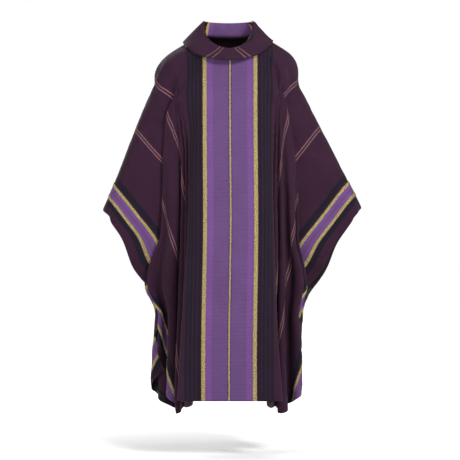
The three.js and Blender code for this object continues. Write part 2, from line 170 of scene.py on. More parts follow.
def fold_curves(side, hand):
    """Curves from flat to full folds; the full ones let the sleeve ridge hang at its angle."""
    drift = FOLD_DRIFT[side, hand]
    low, high = 0.0, STRONGEST_FOLD
    for _ in range(HALVINGS):
        middle = (low + high) / 2
        if winding_curve(middle, drift)[1][-1] > SLEEVE_HANG[hand]:
            low = middle
        else:
            high = middle
    return [winding_curve(middle * k / FOLD_LEVELS, drift) for k in range(FOLD_LEVELS + 1)]


def drape(side, flat):
    """Where the points of the flat panel hang: the middle falls straight over the rounded shoulders, and
    the cloth beyond turns down about the shoulder point in a cone of folds that keeps its flat lengths."""
    places = np.zeros((len(flat), 3))
    for hand in (-1, 1):
        chosen = flat[:, 0] < 0 if hand < 0 else flat[:, 0] >= 0
        out, down = np.abs(flat[chosen, 0]), flat[chosen, 1]
        ridge = np.maximum(out - NECK_HALF_WIDTH, 0) * slope_fall
        below = np.maximum(down - ridge, 0)
        flat_angle = np.arctan2(out - SHOULDER_REACH, np.maximum(down - shoulder_drop, 1e-6))
        on_sleeve = ease(out, *SLEEVE_BLEND) * ease(flat_angle, *SLEEVE_ANGLES)
        radius = SHOULDER_RADIUS + (SLEEVE_RADIUS - SHOULDER_RADIUS) * on_sleeve
        turn = np.minimum(below / radius, math.pi / 2)
        sunk = ridge + radius * (1 - np.cos(turn)) + np.maximum(below - radius * math.pi / 2, 0)
        reach = np.hypot(out - SHOULDER_REACH, sunk - shoulder_drop)
        angle = np.clip(np.arctan2(out - SHOULDER_REACH, sunk - shoulder_drop), 0, ridge_angle)
        curves = fold_curves(side, hand)
        place = ease(reach, 0, FOLD_START) * FOLD_LEVELS
        low = np.minimum(place.astype(int), FOLD_LEVELS - 1)
        share = place - low
        sideways, inward = np.zeros_like(reach), np.zeros_like(reach)
        for k in range(FOLD_LEVELS):
            here = low == k
            for part, weight in ((curves[k], 1 - share[here]), (curves[k + 1], share[here])):
                sideways[here] += np.interp(angle[here], part[0], part[1]) * weight
                inward[here] += np.interp(angle[here], part[0], part[2]) * weight
        beyond = out > SHOULDER_REACH
        x = np.where(beyond, SHOULDER_REACH + reach * np.sin(sideways) * np.cos(inward), out)
        drop = np.where(beyond, shoulder_drop + reach * np.cos(sideways) * np.cos(inward), sunk)
        fade = np.where(beyond, 1 - ease(angle, LEAN_FADE_START, ridge_angle), 1)
        lean = HEM_LEAN * fade * np.maximum(drop - shoulder_drop, 0)
        depth = radius * np.sin(turn) + lean - np.where(beyond, reach * np.sin(inward), 0)
        loose = ease(drop, LOOSE_FROM, LOOSE_FULLY)
        depth += RIPPLE * loose * np.sin(RIPPLE_DOWN * drop + RIPPLE_ACROSS * hand * out + facing_side[side])
        x = hand * x + SWAY * loose * np.sin(SWAY_DOWN * drop + SWAY_SIDE * facing_side[side])
        places[chosen] = np.stack([x, facing_side[side] * depth, NECK_HEIGHT - drop], 1)
    return places


# Both panels cut, meshed and hung in their folds.
flats, hung, triangles, sides, counts = [], [], [], [], {}
for side in ("front", "back"):
    flat, faces = flat_mesh(side)
    counts[side] = len(flat)
    triangles.append(faces + sum(len(f) for f in flats))
    flats.append(flat)
    hung.append(drape(side, flat))
    sides += [side] * len(flat)
flats, hung, triangles = np.vstack(flats), np.vstack(hung), np.vstack(triangles)

# The seam: a shoulder-line point of the back is the same point of the front.
seam, same = {}, np.arange(len(flats))
on_seam = np.abs(flats[:, 1] - (np.abs(flats[:, 0]) - NECK_HALF_WIDTH) * slope_fall) < 1e-5
on_seam &= np.abs(flats[:, 0]) >= NECK_HALF_WIDTH - 1e-6
for k in np.nonzero(on_seam)[0]:
    same[k] = seam.setdefault((round(flats[k, 0], 4), round(flats[k, 1], 4)), k)
kept = np.unique(same)
number = np.zeros(len(flats), int)
number[kept] = np.arange(len(kept))
joined_faces = number[same[triangles]]


# What the cloth hangs against, from the bottom up: height, half width and half depth of the trunk.
TRUNK_RINGS = [
    (-1.46, 0.155, 0.118), (-1.0, 0.155, 0.116), (-0.75, 0.155, 0.113), (-0.60, 0.150, 0.110),
    (-0.45, 0.145, 0.108), (-0.30, 0.150, 0.105), (-0.20, 0.158, 0.100), (-0.12, 0.170, 0.086),
    (-0.07, 0.158, 0.072), (-0.035, 0.120, 0.060), (-0.005, 0.075, 0.055), (0.03, 0.06, 0.055),
]
ROUNDNESS = 2.3
ARM_LENGTH = 0.60
ARM_RADIUS = 0.048
ARM_TAPER = 0.012
ARM_STEPS = 25
ARM_END_RISE = 0.043
ARM_START = 0.02
ARM_INSET = 0.056


def body_form(name, rings, around):
    """A closed form inside the garment, from rings of height, half width and half depth."""
    points, faces = [], []
    for height, wide, deep in rings:
        for k in range(around):
            a = 2 * math.pi * k / around
            c, s = math.cos(a), math.sin(a)
            full = (abs(c) ** ROUNDNESS + abs(s) ** ROUNDNESS) ** (-1 / ROUNDNESS)
            points.append((wide * c * full, deep * s * full, height))
    for i in range(len(rings) - 1):
        for k in range(around):
            m = (k + 1) % around
            faces.append((i * around + k, i * around + m, (i + 1) * around + m, (i + 1) * around + k))
    faces.append(tuple(range(around - 1, -1, -1)))
    faces.append(tuple((len(rings) - 1) * around + k for k in range(around)))
    mesh = bpy.data.meshes.new(name)
    mesh.from_pydata(points, [], faces)
    form = bpy.data.objects.new(name, mesh)
    scene.collection.objects.link(form)
    form.modifiers.new("Collision", "COLLISION")
    form.collision.thickness_outer = 0.004
    form.collision.thickness_inner = 0.02
    form.collision.cloth_friction = 8
    form.collision.damping = 0.5
    return form


def arm_form(hand):
    """An arm that hangs along the fold of the sleeve."""
    rings = [(-ARM_LENGTH * k / ARM_STEPS, ARM_RADIUS - ARM_TAPER * k / ARM_STEPS)
             for k in range(ARM_STEPS, 0, -1)]
    rings += [(ARM_END_RISE * math.sin(a), ARM_RADIUS * math.cos(a) + 1e-4)
              for a in np.linspace(0, math.pi / 2, 7)]
    arm = body_form("arm", [(rise, radius, radius) for rise, radius in rings], 24)
    a = SLEEVE_HANG[hand]
    along = Vector((hand * math.sin(a), 0, -math.cos(a)))
    outward = Vector((hand * math.cos(a), 0, math.sin(a)))
    arm.rotation_euler = (0, -hand * a, 0)
    arm.location = Vector((hand * SHOULDER_REACH, 0, NECK_HEIGHT - shoulder_drop))
    arm.location += along * ARM_START - outward * ARM_INSET
    return arm


def vertex_values(mesh, kind):
    """The places (co) or normals (normal) of a mesh's vertices."""
    values = np.zeros(len(mesh.vertices) * 3)
    mesh.vertices.foreach_get(kind, values)
    return values.reshape(-1, 3)


# The neck edge and the middle of each panel are held, and the cloth beyond is free. Hanging stretches it,
# so its unloaded length is a little shorter than its cut length.
SETTLE_FRAMES = 60
UNLOADED_LENGTH = 0.97
HOLD_FULL = 0.085
HOLD_NONE = 0.150
STIFF_NONE = 0.180
LEAST_HOLD = 0.01


def settle(places, flat, faces, side_of):
    """Lets the folded cloth settle under its own weight, with its cut lengths kept."""
    mesh = bpy.data.meshes.new("hanging_cloth")
    mesh.from_pydata(places.tolist(), [], faces.tolist())
    cloth = bpy.data.objects.new("hanging_cloth", mesh)
    scene.collection.objects.link(cloth)
    forms = [body_form("trunk", TRUNK_RINGS, 48), arm_form(-1), arm_form(1)]
    cloth.shape_key_add(name="hung")
    cut = cloth.shape_key_add(name="cut")
    rest = np.stack([flat[:, 0], np.zeros(len(flat)), -flat[:, 1] * UNLOADED_LENGTH], 1)
    cut.data.foreach_set("co", rest.astype(np.float32).ravel())
    out = np.abs(flat[:, 0])
    top = np.where(side_of == "front", neck_top("front", out), neck_top("back", out))
    hold = 1 - ease(out, HOLD_FULL, HOLD_NONE)
    hold[(out <= NECK_HALF_WIDTH + 1e-6) & (np.abs(flat[:, 1] - top) < 2e-3)] = 1
    body = 1 - ease(out, HOLD_NONE, STIFF_NONE)
    held = cloth.vertex_groups.new(name="held")
    stiff = cloth.vertex_groups.new(name="stiff")
    for k in range(len(flat)):
        if hold[k] > LEAST_HOLD:
            held.add([k], float(hold[k]), "REPLACE")
        stiff.add([k], float(body[k]), "REPLACE")
    modifier = cloth.modifiers.new("Cloth", "CLOTH")
    weave = modifier.settings
    weave.rest_shape_key = cut
    weave.quality = 6
    weave.mass = 0.2
    weave.tension_stiffness = weave.compression_stiffness = 34
    weave.shear_stiffness = 17
    weave.bending_model = "ANGULAR"
    weave.bending_stiffness = 0.7
    weave.vertex_group_bending = "stiff"
    weave.bending_stiffness_max = 40
    weave.tension_damping = weave.compression_damping = weave.shear_damping = 5
    weave.bending_damping = 0.5
    weave.air_damping = 1
    weave.vertex_group_mass = "held"
    touch = modifier.collision_settings
    touch.use_collision = True
    touch.distance_min = 0.006
    touch.collision_quality = 2
    touch.use_self_collision = True
    touch.self_distance_min = 0.004
    touch.self_friction = 4
    modifier.point_cache.frame_start = 1
    modifier.point_cache.frame_end = SETTLE_FRAMES
    scene.frame_start, scene.frame_end = 1, SETTLE_FRAMES
    for step in range(1, SETTLE_FRAMES + 1):
        scene.frame_set(step)
    settled = cloth.evaluated_get(bpy.context.evaluated_depsgraph_get())
    found = vertex_values(settled.data, "co")
    for thing in [cloth] + forms:
        bpy.data.objects.remove(thing)
    scene.frame_set(1)
    return found


side_of = np.array(sides)[kept]
settled = settle(hung[kept], flats[kept], joined_faces, side_of)

# The settled cloth is then eased wider, as arms under it would hold it: at the left shoulder and at the
# sleeves' lower edges. Each place: hand, how much, depths of its start, full width and end, and reach.
HELD_WIDER = [(-1, 0.028, (0.03, 0.13, 0.20, 0.62), (0.12, 0.24)),
              (-1, 0.046, (0.68, 0.83, 0.86, 0.98), (0.17, 0.27)),
              (1, 0.034, (0.70, 0.84, 0.86, 0.98), (0.17, 0.27))]
fallen, place_across = -settled[:, 2], settled[:, 0].copy()
for hand, extra, (start, full, still, end), (near, far) in HELD_WIDER:
    here = ease(fallen, start, full) * (1 - ease(fallen, still, end))
    settled[:, 0] += hand * extra * here * ease(hand * place_across, near, far)


def apply_modifiers(piece):
    bpy.context.view_layer.objects.active = piece
    for name in [m.name for m in piece.modifiers]:
        bpy.ops.object.modifier_apply(modifier=name)


def sheet_piece(name, points, faces, flat, thickness, smoother=0):
    """A sheet of cloth from its middle surface, with its flat coordinates kept as the UV map."""
    mesh = bpy.data.meshes.new(name)
    mesh.from_pydata(np.asarray(points).tolist(), [], [tuple(int(k) for k in f) for f in faces])
    corner = np.zeros(len(mesh.loops), int)
    mesh.loops.foreach_get("vertex_index", corner)
    layer = mesh.uv_layers.new(name="flat")
    layer.data.foreach_set("uv", np.asarray(flat)[corner].astype(np.float32).ravel())
    mesh.polygons.foreach_set("use_smooth", [True] * len(mesh.polygons))
    piece = bpy.data.objects.new(name, mesh)
    scene.collection.objects.link(piece)
    if smoother:
        finer = piece.modifiers.new("Finer", "SUBSURF")
        finer.levels = finer.render_levels = smoother
        apply_modifiers(piece)
    if thickness:
        body = piece.modifiers.new("Body", "SOLIDIFY")
        body.thickness = thickness
        body.offset = 0
        apply_modifiers(piece)
    return piece


def finish_piece(piece, material, node):
    """Its material, the body it rides on, and the CAD node it stands for, which is hidden."""
    piece.data.materials.append(material)
    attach(piece, "root")
    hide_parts(node)


class Surface:
    """The hanging panel as a surface that trimmings are laid on, found by their flat place."""

    def __init__(self, mesh):
        self.co = vertex_values(mesh, "co")
        self.normal = vertex_values(mesh, "normal")
        flat = np.zeros((len(mesh.vertices), 2))
        uv = mesh.uv_layers["flat"].data
        for loop in mesh.loops:
            flat[loop.vertex_index] = uv[loop.index].uv
        self.faces = []
        for polygon in mesh.polygons:
            v = list(polygon.vertices)
            self.faces += [(v[0], v[k], v[k + 1]) for k in range(1, len(v) - 1)]
        self.flat = flat
        self.tree = BVHTree.FromPolygons([(x, y, 0) for x, y in flat], self.faces, all_triangles=True)

    def at(self, points, height=0.0):
        """Places of flat points, lifted off the cloth by a height."""
        height = np.broadcast_to(height, len(points))
        found = np.zeros((len(points), 3))
        for k, (x, y) in enumerate(points):
            place, _, face, _ = self.tree.find_nearest((x, y, 0))
            i, j, m = self.faces[face]
            a, b, c = self.flat[i], self.flat[j], self.flat[m]
            area = (b[0] - a[0]) * (c[1] - a[1]) - (c[0] - a[0]) * (b[1] - a[1])
            v = ((place[0] - a[0]) * (c[1] - a[1]) - (c[0] - a[0]) * (place[1] - a[1])) / area
            w = ((b[0] - a[0]) * (place[1] - a[1]) - (place[0] - a[0]) * (b[1] - a[1])) / area
            share = np.array([1 - v - w, v, w])
            normal = share @ self.normal[[i, j, m]]
            found[k] = share @ self.co[[i, j, m]] + normal / np.linalg.norm(normal) * height[k]
        return found


def paint(red, green, blue):
    """A colour as a paint card gives it, made linear."""
    def linear(value):
        value = value / 255
        return value / 12.92 if value <= 0.04045 else ((value + 0.055) / 1.055) ** 2.4
    return (linear(red), linear(green), linear(blue), 1.0)


def add_node(tree, kind, settings=None, inputs=None):
    """A shader node with its settings, and its inputs given as values or linked from other sockets."""
    node = tree.nodes.new(kind)
    for name, value in (settings or {}).items():
        setattr(node, name, value)
    for name, value in (inputs or {}).items():
        socket = node.inputs[name]
        if isinstance(value, bpy.types.NodeSocket):
            tree.links.new(value, socket)
        else:
            socket.default_value = value
    return node


def calc(tree, operation, first, second=None):
    inputs = {0: first} if second is None else {0: first, 1: second}
    return add_node(tree, "ShaderNodeMath", {"operation": operation}, inputs).outputs[0]


def new_group(name, takes, gives):
    """A node group with named inputs and outputs."""
    tree = bpy.data.node_groups.new(name, "ShaderNodeTree")
    for title, kind, start in takes:
        socket = tree.interface.new_socket(name=title, in_out="INPUT", socket_type=kind)
        if start is not None:
            socket.default_value = start
    for title in gives:
        tree.interface.new_socket(name=title, in_out="OUTPUT", socket_type="NodeSocketFloat")
    source = tree.nodes.new("NodeGroupInput")
    target = tree.nodes.new("NodeGroupOutput")
    return tree, source, target


TWILL_SLANT = 0.8
CROSSING_SHARE = 0.5
CROSSING_TURNS = 1.7
# Painted shade and highlight on the ribs: how far their tone rises on the tops and falls in the grooves.
RIB_PAINTED_SHADE = 0.20


def make_weave_group():
    """Woven threads: a diagonal twill or cross ribs, slubs along the yarn, uneven dye, and painted shade and
    highlight along the ribs.
    """
    tree, source, target = new_group("woven_threads", [
        ("Flat", "NodeSocketVector", None), ("Thread", "NodeSocketFloat", 0.0011),
        ("Rib", "NodeSocketFloat", 0.004), ("Rib Share", "NodeSocketFloat", 0.0),
        ("Unevenness", "NodeSocketFloat", 0.1)], ["Height", "Tone"])
    parts = add_node(tree, "ShaderNodeSeparateXYZ", inputs={0: source.outputs["Flat"]})
    across, down = parts.outputs[0], parts.outputs[1]
    turns = calc(tree, "DIVIDE", 2 * math.pi, source.outputs["Thread"])
    slanted = calc(tree, "ADD", across, calc(tree, "MULTIPLY", down, TWILL_SLANT))
    twill = calc(tree, "SINE", calc(tree, "MULTIPLY", slanted, turns))
    cross_turns = calc(tree, "MULTIPLY", turns, CROSSING_TURNS)
    crossing = calc(tree, "SINE", calc(tree, "MULTIPLY", down, cross_turns))
    threads = calc(tree, "ADD", twill, calc(tree, "MULTIPLY", crossing, CROSSING_SHARE))
    rib_turns = calc(tree, "DIVIDE", 2 * math.pi, source.outputs["Rib"])
    rib = calc(tree, "SINE", calc(tree, "MULTIPLY", down, rib_turns))
    plain = calc(tree, "SUBTRACT", 1.0, source.outputs["Rib Share"])
    height = calc(tree, "ADD", calc(tree, "MULTIPLY", threads, plain),
                  calc(tree, "MULTIPLY", rib, source.outputs["Rib Share"]))
    stretched = add_node(tree, "ShaderNodeMapping", inputs={
        "Vector": source.outputs["Flat"], "Scale": (1.0, 0.12, 1.0)})
    slubs = add_node(tree, "ShaderNodeTexNoise", inputs={
        "Vector": stretched.outputs[0], "Scale": 420.0, "Detail": 3.0, "Roughness": 0.6})
    crosswise = add_node(tree, "ShaderNodeMapping", inputs={
        "Vector": source.outputs["Flat"], "Scale": (0.10, 1.0, 1.0)})
    picks = add_node(tree, "ShaderNodeTexNoise", inputs={
        "Vector": crosswise.outputs[0], "Scale": 330.0, "Detail": 2.0, "Roughness": 0.6})
    dye = add_node(tree, "ShaderNodeTexNoise", inputs={
        "Vector": source.outputs["Flat"], "Scale": 9.0, "Detail": 4.0, "Roughness": 0.55})
    uneven = calc(tree, "ADD", calc(tree, "SUBTRACT", slubs.outputs["Fac"], 0.5),
                  calc(tree, "SUBTRACT", picks.outputs["Fac"], 0.5))
    uneven = calc(tree, "ADD", uneven, calc(tree, "SUBTRACT", dye.outputs["Fac"], 0.5))
    uneven = calc(tree, "MULTIPLY", uneven, source.outputs["Unevenness"])
    # Painted shade and highlight: the ribs' tone follows their height, lighter on top and darker in the
    # grooves.
    painted_rib_shade = calc(tree, "MULTIPLY", calc(tree, "MULTIPLY", rib, source.outputs["Rib Share"]), RIB_PAINTED_SHADE)
    tone = calc(tree, "ADD", calc(tree, "ADD", 1.0, uneven), painted_rib_shade)
    tree.links.new(height, target.inputs["Height"])
    tree.links.new(tone, target.inputs["Tone"])
    return tree


woven_threads = make_weave_group()


def stripe_colours(tree, distance, ground, stripes):
    """A ground colour with stripes over it, each given as its colour, width and middle distances."""
    colour = ground
    for dye, width, middles in stripes:
        mask = None
        for middle in middles:
            near = add_node(tree, "ShaderNodeMath", {"operation": "COMPARE"},
                            {0: distance, 1: middle, 2: width / 2}).outputs[0]
            mask = near if mask is None else calc(tree, "ADD", mask, near)
        mixed = add_node(tree, "ShaderNodeMix", {"data_type": "RGBA"}, {0: mask, 6: colour, 7: dye})
        colour = mixed.outputs[2]
    return colour


def striped(ground, stripes):
    """A colour by the distance from the centre line: a ground with stripes."""
    def colour_of(tree, flat):
        across = add_node(tree, "ShaderNodeSeparateXYZ", inputs={0: flat}).outputs[0]
        return stripe_colours(tree, calc(tree, "ABSOLUTE", across), ground, stripes)
    return colour_of


def mottled(scale, roughness, spot_colours):
    """A colour that changes in spots of a scale, through colours given with their shares."""
    def colour_of(tree, flat):
        spots = add_node(tree, "ShaderNodeTexNoise", inputs={
            "Vector": flat, "Scale": scale, "Detail": 3.0, "Roughness": roughness})
        ramp = add_node(tree, "ShaderNodeValToRGB", inputs={0: spots.outputs["Fac"]})
        steps = ramp.color_ramp.elements
        steps[0].position, steps[0].color = spot_colours[0]
        steps[1].position, steps[1].color = spot_colours[-1]
        for share, dye in spot_colours[1:-1]:
            steps.new(share).color = dye
        return ramp.outputs[0]
    return colour_of


def cloth_material(name, colour_of, thread=0.0011, rib=0.004, rib_share=0.0, uneven=0.2,
                   bump=0.25, relief=0.0004, roughness=0.85, metal=0.0, sheen=0.0):
    """A woven material on the piece's flat coordinates; colour_of gives its colour's socket, and the thread
    tone on it adds painted shade along any ribs.
    """
    material = bpy.data.materials.new(name)
    material.use_nodes = True
    tree = material.node_tree
    shader = tree.nodes["Principled BSDF"]
    flat = add_node(tree, "ShaderNodeUVMap", {"uv_map": "flat"}).outputs[0]
    threads = add_node(tree, "ShaderNodeGroup", {"node_tree": woven_threads}, {
        "Flat": flat, "Thread": thread, "Rib": rib, "Rib Share": rib_share, "Unevenness": uneven})
    # The colour times the thread tone, which on ribbed cloth holds painted shade and highlight.
    dyed_and_rib_shaded = add_node(tree, "ShaderNodeHueSaturation", inputs={
        "Value": threads.outputs["Tone"], "Color": colour_of(tree, flat)})
    tree.links.new(dyed_and_rib_shaded.outputs[0], shader.inputs["Base Color"])
    raised = add_node(tree, "ShaderNodeBump", inputs={
        "Strength": bump, "Distance": relief, "Height": threads.outputs["Height"]})
    tree.links.new(raised.outputs[0], shader.inputs["Normal"])
    shader.inputs["Roughness"].default_value = roughness
    shader.inputs["Metallic"].default_value = metal
    shader.inputs["Sheen Weight"].default_value = sheen
    shader.inputs["Specular IOR Level"].default_value = 0.12
    return material


PLUM = paint(43, 20, 38)
NAVY = paint(20, 17, 29)
SHADED_PLUM = paint(39, 18, 35)
PIN_GOLD = paint(126, 98, 54)
PIN_VIOLET = paint(53, 23, 58)
PIN_PAIRS = (0.292, 0.458)
PIN_HALF_PITCH = 0.0046
PIN_WIDTH = 0.0020
NAVY_SHIFTS = (0.1045, 0.119, 0.1335, 0.148)
panel_stripes = [
    (SHADED_PLUM, 0.056, [0.126]), (NAVY, 0.0094, NAVY_SHIFTS),
    (NAVY, 0.017, [0.6315]), (NAVY, 0.014, [0.708]),
    (PIN_VIOLET, 0.020, PIN_PAIRS),
    (PIN_GOLD, PIN_WIDTH, [pair + shift for pair in PIN_PAIRS
                           for shift in (-PIN_HALF_PITCH, PIN_HALF_PITCH)]),
]
TWILL = {"thread": 0.0016, "uneven": 0.55, "bump": 0.35, "sheen": 0.03}
plum_twill = cloth_material("plum_twill", striped(PLUM, panel_stripes), **TWILL)

panels, surfaces = {}, {}
for side in ("front", "back"):
    own = triangles[(triangles[:, 0] < counts["front"]) == (side == "front")]
    used = np.unique(own)
    renumber = np.zeros(len(flats), int)
    renumber[used] = np.arange(len(used))
    points = settled[number[same[used]]]
    faces = renumber[own]
    a, b, c = points[faces[:, 0]], points[faces[:, 1]], points[faces[:, 2]]
    middle = np.abs(flats[used][faces].mean(1)[:, 0]) < 0.1
    if np.cross(b - a, c - a)[middle, 1].sum() * facing_side[side] < 0:
        faces = faces[:, ::-1]
    panel = sheet_piece(side + "_panel", points, faces, flats[used], 0, smoother=1)
    surfaces[side] = Surface(panel.data)
    body = panel.modifiers.new("Body", "SOLIDIFY")
    body.thickness = CLOTH_THICKNESS
    body.offset = 0
    apply_modifiers(panel)
    cut = flats[used][faces]
    edge_1, edge_2 = cut[:, 1] - cut[:, 0], cut[:, 2] - cut[:, 0]
    panel["cut_area"] = float(np.abs(edge_1[:, 0] * edge_2[:, 1] - edge_1[:, 1] * edge_2[:, 0]).sum() / 2)
    panels[side] = panel
    finish_piece(panel, plum_twill, side + "_cloth")


# ==== The orphreys ====
# A ribbed violet ribbon 190 mm wide runs down the middle of each panel from under the collar to the hem.
# Its two edges are a lighter violet. A gold galloon is sewn along each edge, and a thin gold braid down
# the middle, each with its own relief of raised edges and slanted threads.
ORPHREY_HALF_WIDTH = 0.095
ORPHREY_THICKNESS = 0.0009
GALLOON_WIDTH = 0.0135
GALLOON_THICKNESS = 0.0007
BRAID_HALF_WIDTH = 0.003
LIGHT_EDGE_WIDTH = 0.019
LAYER_GAP = 0.0004
UNDER_COLLAR = 0.020
BRAID_DEPTH = 0.00012
RIB_PITCH = 0.0046


def grid_faces(rows, columns):
    return [(i * columns + j, i * columns + j + 1, (i + 1) * columns + j + 1, (i + 1) * columns + j)
            for i in range(rows - 1) for j in range(columns - 1)]


def laid_sheet(name, side, flat, height, thickness):
    """A ribbon laid on a panel: flat is its grid of flat places, rows by columns."""
    rows, columns = flat.shape[:2]
    flat = flat.reshape(-1, 2)
    middle = np.broadcast_to(height, (rows, columns)).ravel()
    points = surfaces[side].at(flat, middle)
    faces = grid_faces(rows, columns)
    a, b, c = points[[f[0] for f in faces]], points[[f[1] for f in faces]], points[[f[3] for f in faces]]
    if np.cross(b - a, c - a)[:, 1].sum() * facing_side[side] * np.sign(np.mean(height)) < 0:
        faces = [f[::-1] for f in faces]
    return sheet_piece(name, points, faces, flat, thickness)


def centre_grid(side, low, high, columns, spacing):
    """Flat places between two distances from the centre line, from under the collar to the hem."""
    across = np.linspace(low, high, columns)
    rows = round(PANEL_LENGTH / spacing)
    start = neck_top(side, across) + UNDER_COLLAR
    share = np.linspace(0, 1, rows)[:, None]
    down = start * (1 - share) + (PANEL_LENGTH - 0.001) * share
    return np.stack([np.broadcast_to(across, down.shape), down], 2)


def braid_relief(rows, columns, depth):
    """Raised selvedges and slanted threads, as heights over a grid."""
    i, j = np.meshgrid(np.arange(rows), np.arange(columns), indexing="ij")
    slanted = np.where((i + np.abs(j - (columns - 1) / 2)) % 3 < 1.5, 0.5, -0.5) * depth
    selvedge = np.where((j <= 1) | (j >= columns - 2), depth, 0)
    edge = np.where((j == 0) | (j == columns - 1), -depth, 0)
    return slanted + selvedge + edge


VIOLET = paint(84, 58, 100)
LIGHT_VIOLET = paint(95, 61, 114)
DARK_VIOLET = paint(62, 38, 88)
light_edge = ORPHREY_HALF_WIDTH - GALLOON_WIDTH - LIGHT_EDGE_WIDTH / 2
orphrey_stripes = [(DARK_VIOLET, 0.0116, [0.0]), (LIGHT_VIOLET, LIGHT_EDGE_WIDTH + 0.006, [light_edge]),
                   (DARK_VIOLET, 0.003, [ORPHREY_HALF_WIDTH - 0.001])]


RIBBED = {"thread": 0.0012, "rib": RIB_PITCH, "uneven": 0.35, "bump": 0.5, "roughness": 0.75, "sheen": 0.04}
violet_ribs = cloth_material("violet_ribs", striped(VIOLET, orphrey_stripes), rib_share=0.75,
                             relief=0.0006, **RIBBED)

# The gold is metal thread wound on a core: a mottle of duller turns and small dark gaps, and bright flecks
# that are painted glints.
GOLD_AND_GLINTS = [(0.34, paint(98, 80, 44)), (0.50, paint(150, 134, 84)), (0.68, paint(200, 188, 138))]
gold_braid = cloth_material("gold_braid", mottled(260.0, 0.65, GOLD_AND_GLINTS), thread=0.0022, uneven=0.25, bump=0.6,
                            relief=0.0006, roughness=0.42, metal=0.35)

cloth_top = CLOTH_THICKNESS / 2
trim_low = cloth_top + LAYER_GAP
orphrey_middle = trim_low + ORPHREY_THICKNESS / 2
galloon_middle = trim_low + ORPHREY_THICKNESS + LAYER_GAP + GALLOON_THICKNESS / 2
sewn_on = {"front": [], "back": []}
for side in ("front", "back"):
    grid = centre_grid(side, -ORPHREY_HALF_WIDTH, ORPHREY_HALF_WIDTH, 27, 0.008)
    ribbon = laid_sheet(side + "_orphrey_ribbon", side, grid, orphrey_middle, ORPHREY_THICKNESS)
    finish_piece(ribbon, violet_ribs, side + "_orphrey")
    full = PANEL_LENGTH - UNDER_COLLAR
    sewn_on[side].append(ribbon)
    for name, low, high, columns in (
            ("galloon_left", -ORPHREY_HALF_WIDTH, GALLOON_WIDTH - ORPHREY_HALF_WIDTH, 9),
            ("galloon_right", ORPHREY_HALF_WIDTH - GALLOON_WIDTH, ORPHREY_HALF_WIDTH, 9),
            ("centre_braid", -BRAID_HALF_WIDTH, BRAID_HALF_WIDTH, 5)):
        grid = centre_grid(side, low, high, columns, 0.0025)
        height = galloon_middle + braid_relief(grid.shape[0], columns, BRAID_DEPTH)
        piece = laid_sheet(f"{side}_gold_{name}", side, grid, height, GALLOON_THICKNESS)
        finish_piece(piece, gold_braid, f"{side}_orphrey_{name}")
        sewn_on[side].append(piece)


# ==== The sleeve bands ====
# A violet ribbon 50 mm wide with a gold galloon on each edge crosses each sleeve end, from the front hem
# up over the sleeve seam and down to the back hem. It is sewn flat on the cloth, 46 mm from its edge.
BAND_INSET = 0.046
BAND_WIDTH = 0.050
BAND_THICKNESS = 0.0009
BAND_GALLOON_WIDTH = 0.010
EDGE_INSET = 0.001


def hem_at(across):
    """How far down the panel's edge is, at that distance from the centre line."""
    into = np.clip(np.abs(across) - (HALF_WIDTH - CORNER_RADIUS), 0, CORNER_RADIUS)
    return PANEL_LENGTH - CORNER_RADIUS + np.sqrt(CORNER_RADIUS ** 2 - into ** 2) - EDGE_INSET


def band_strip(name, hand, low, high, columns, spacing, height, thickness, relief=0.0):
    """A ribbon between two distances from the centre line, up the front, over the seam, down the back."""
    across = np.linspace(low, high, columns)
    seam_down = (across - NECK_HALF_WIDTH) * slope_fall
    half_rows = round(float(hem_at(low) - seam_down[0]) / spacing)
    share = np.linspace(0, 1, half_rows)[:, None]
    up = hem_at(across) * (1 - share) + seam_down * share
    rows = np.vstack([up, up[::-1][1:]])
    lift = np.broadcast_to(height, rows.shape)
    if relief:
        lift = lift + braid_relief(rows.shape[0], columns, relief)
    flat = np.stack([np.broadcast_to(hand * across, rows.shape), rows], 2)
    front = surfaces["front"].at(flat[:half_rows].reshape(-1, 2), lift[:half_rows].ravel())
    back = surfaces["back"].at(flat[half_rows - 1:].reshape(-1, 2), lift[half_rows - 1:].ravel())
    seam_row = (front[-columns:] + back[:columns]) / 2
    points = np.vstack([front[:-columns], seam_row, back[columns:]])
    faces = grid_faces(rows.shape[0], columns)
    if hand > 0:
        faces = [f[::-1] for f in faces]
    run = np.where(np.arange(rows.shape[0])[:, None] < half_rows, rows, 2 * seam_down - rows)
    flat = np.stack([flat[:, :, 0], run], 2)
    return sheet_piece(name, points, faces, flat.reshape(-1, 2), thickness)


band_outer = HALF_WIDTH - BAND_INSET
band_inner = band_outer - BAND_WIDTH
band_stripes = [(LIGHT_VIOLET, 0.020, [band_inner + 0.010, band_outer - 0.010]),
                (DARK_VIOLET, 0.003, [band_inner + 0.001, band_outer - 0.001])]
band_ribs = cloth_material("band_ribs", striped(VIOLET, band_stripes), rib_share=0.6, relief=0.0005, **RIBBED)
band_galloon_middle = trim_low + BAND_THICKNESS + LAYER_GAP + GALLOON_THICKNESS / 2
for name, hand in (("left", -1), ("right", 1)):
    band = band_strip(name + "_band_ribbon", hand, band_inner, band_outer, 9, 0.007,
                      trim_low + BAND_THICKNESS / 2, BAND_THICKNESS)
    finish_piece(band, band_ribs, name + "_sleeve_band")
    long_edge = 2 * float(hem_at(band_inner) - (band_inner - NECK_HALF_WIDTH) * slope_fall)
    short_edge = 2 * float(hem_at(band_outer) - (band_outer - NECK_HALF_WIDTH) * slope_fall)
    sewn_on["front"].append(band)
    for edge, low in (("inner", band_inner), ("outer", band_outer - BAND_GALLOON_WIDTH)):
        braid = band_strip(f"{name}_{edge}_band_gold", hand, low, low + BAND_GALLOON_WIDTH, 7, 0.0025,
                           band_galloon_middle, GALLOON_THICKNESS, BRAID_DEPTH)
        finish_piece(braid, gold_braid, f"{name}_band_{edge}_galloon")
        sewn_on["front"].append(braid)


